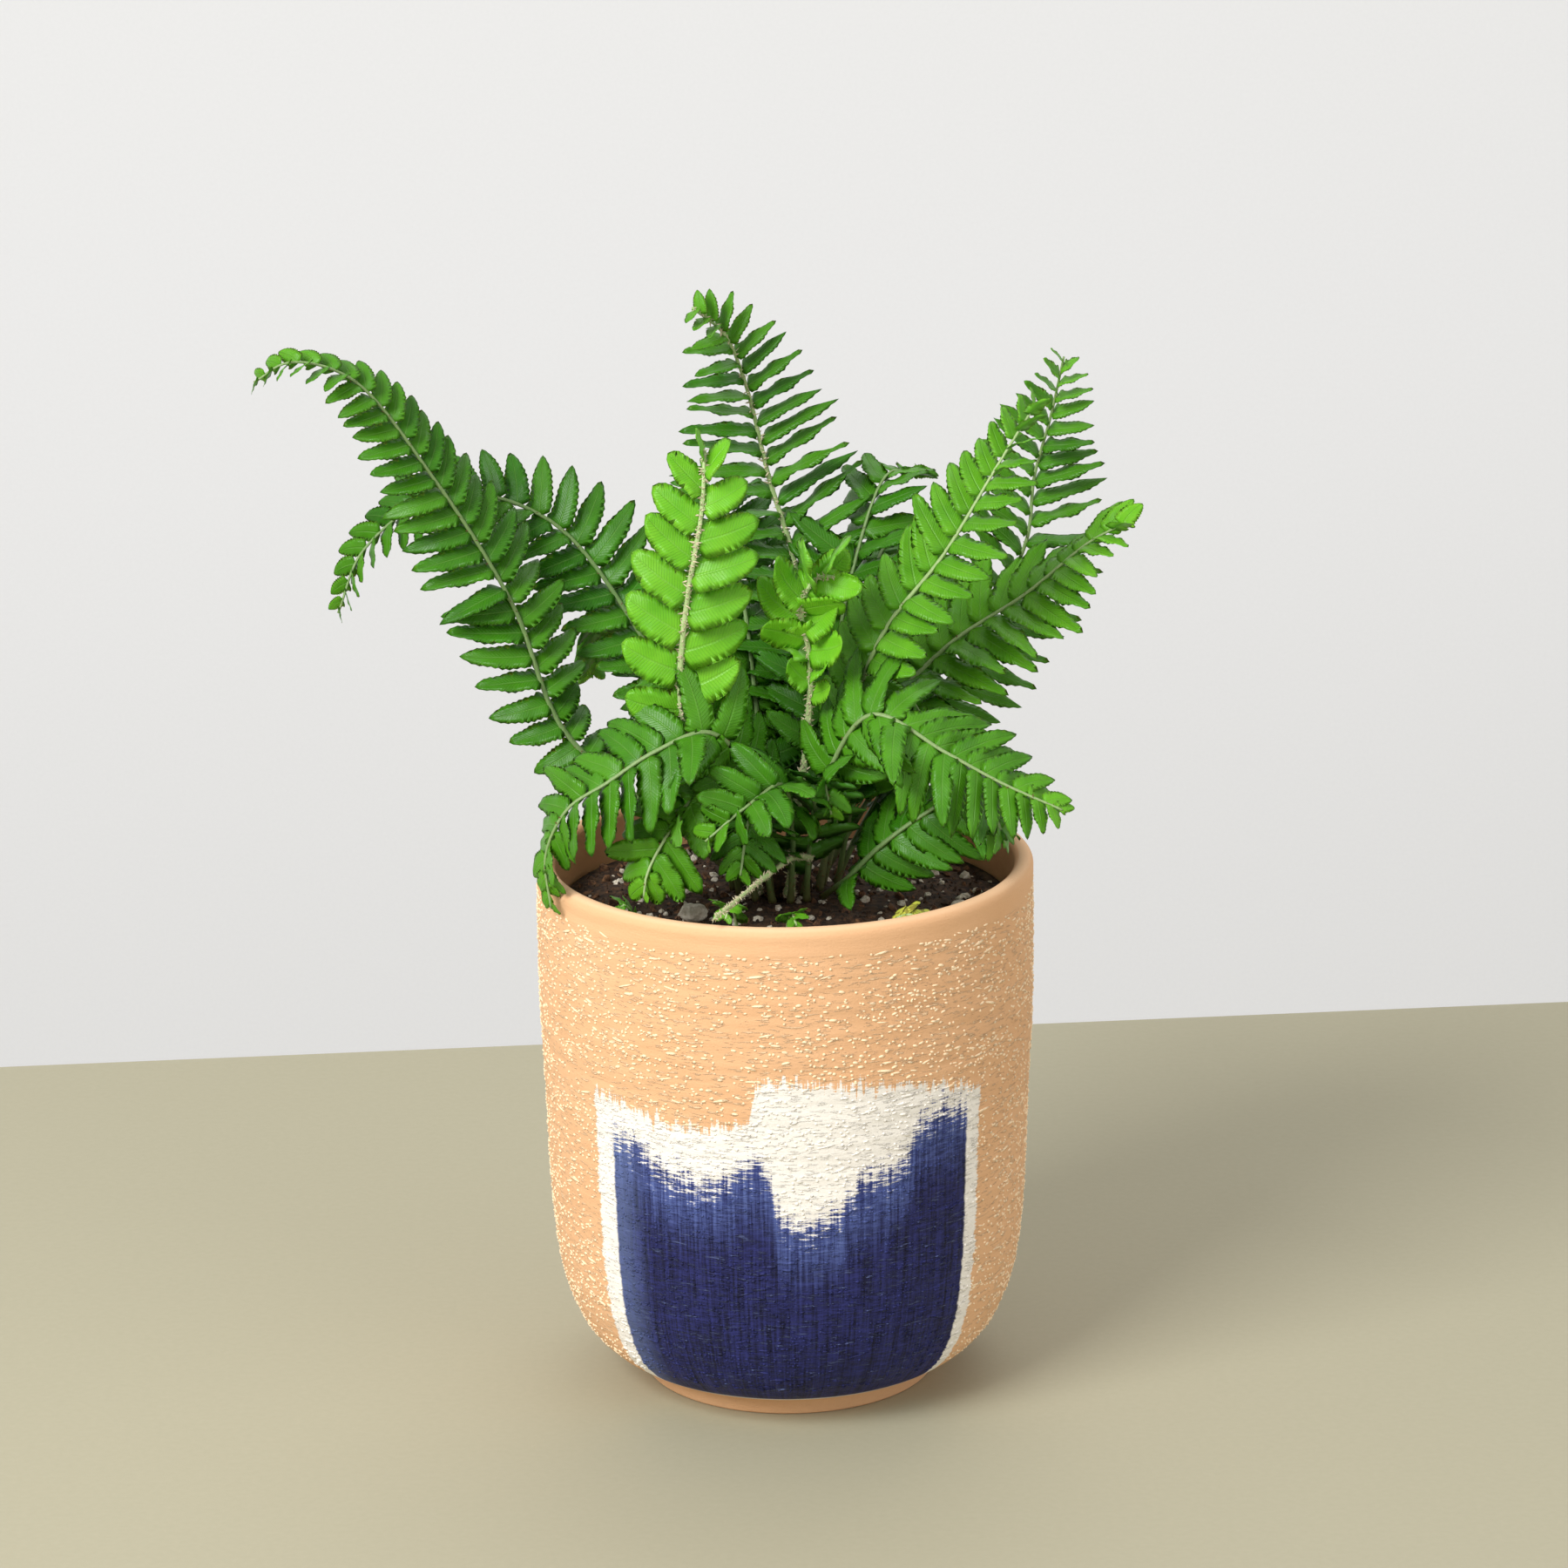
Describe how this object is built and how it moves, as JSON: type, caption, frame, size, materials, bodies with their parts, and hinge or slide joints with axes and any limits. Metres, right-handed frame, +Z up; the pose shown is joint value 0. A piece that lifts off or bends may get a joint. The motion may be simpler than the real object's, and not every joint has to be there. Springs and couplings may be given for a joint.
{
  "type": "potted fern",
  "caption": "Sword fern with arching, toothed fronds growing in a round straight-sided ceramic pot with a small foot, textured terracotta with a brushed indigo and white front.",
  "frame": {"origin": "centre of the underside of the pot's foot, on the surface the pot stands on", "axes": "+Z up along the pot's axis, -Y towards the painted front, +X to the right seen from the front"},
  "size_m": [0.2248, 0.1676, 0.2897],
  "materials": {
    "terracotta": "matte",
    "potting_soil": "matte",
    "fern_crown": "matte",
    "runner_stem": "matte",
    "mature_leaf": "satin",
    "young_leaf": "satin",
    "yellow_leaf": "matte",
    "pale_stone": "matte"
  },
  "bodies": {
    "root": {"crown": "fern_crown", "frond_back_arching": "mature_leaf", "frond_back_inner": "mature_leaf", "frond_back_left_arching": "mature_leaf", "frond_back_left_upright": "mature_leaf", "frond_back_right_arching": "mature_leaf", "frond_back_right_upright": "mature_leaf", "frond_centre_folded": "mature_leaf", "frond_front_bright": "young_leaf", "frond_front_inner": "mature_leaf", "frond_front_left_droop": "mature_leaf", "frond_front_left_inner": "mature_leaf", "frond_front_low": "mature_leaf", "frond_front_right_droop": "mature_leaf", "frond_left_arching": "mature_leaf", "frond_left_behind": "mature_leaf", "frond_left_inner": "mature_leaf", "frond_left_low": "mature_leaf", "frond_left_low_behind": "mature_leaf", "frond_right_back_inner": "mature_leaf", "frond_right_bright_edge": "mature_leaf", "frond_right_comb": "mature_leaf", "frond_right_inner": "mature_leaf", "frond_right_low": "mature_leaf", "frond_right_low_arch": "mature_leaf", "frond_tall_centre": "mature_leaf", "frond_tall_right": "mature_leaf", "frond_young_curled": "young_leaf", "pot": "terracotta", "potting_soil": "potting_soil", "runner": "runner_stem", "sprout_front": "young_leaf", "sprout_front_right": "young_leaf", "sprout_left": "young_leaf", "stone_back": "pale_stone", "stone_front_right": "pale_stone", "stone_large": "pale_stone", "stone_left": "pale_stone", "stone_right": "pale_stone", "yellowed_frond": "yellow_leaf"}
  },
  "joints": []
}
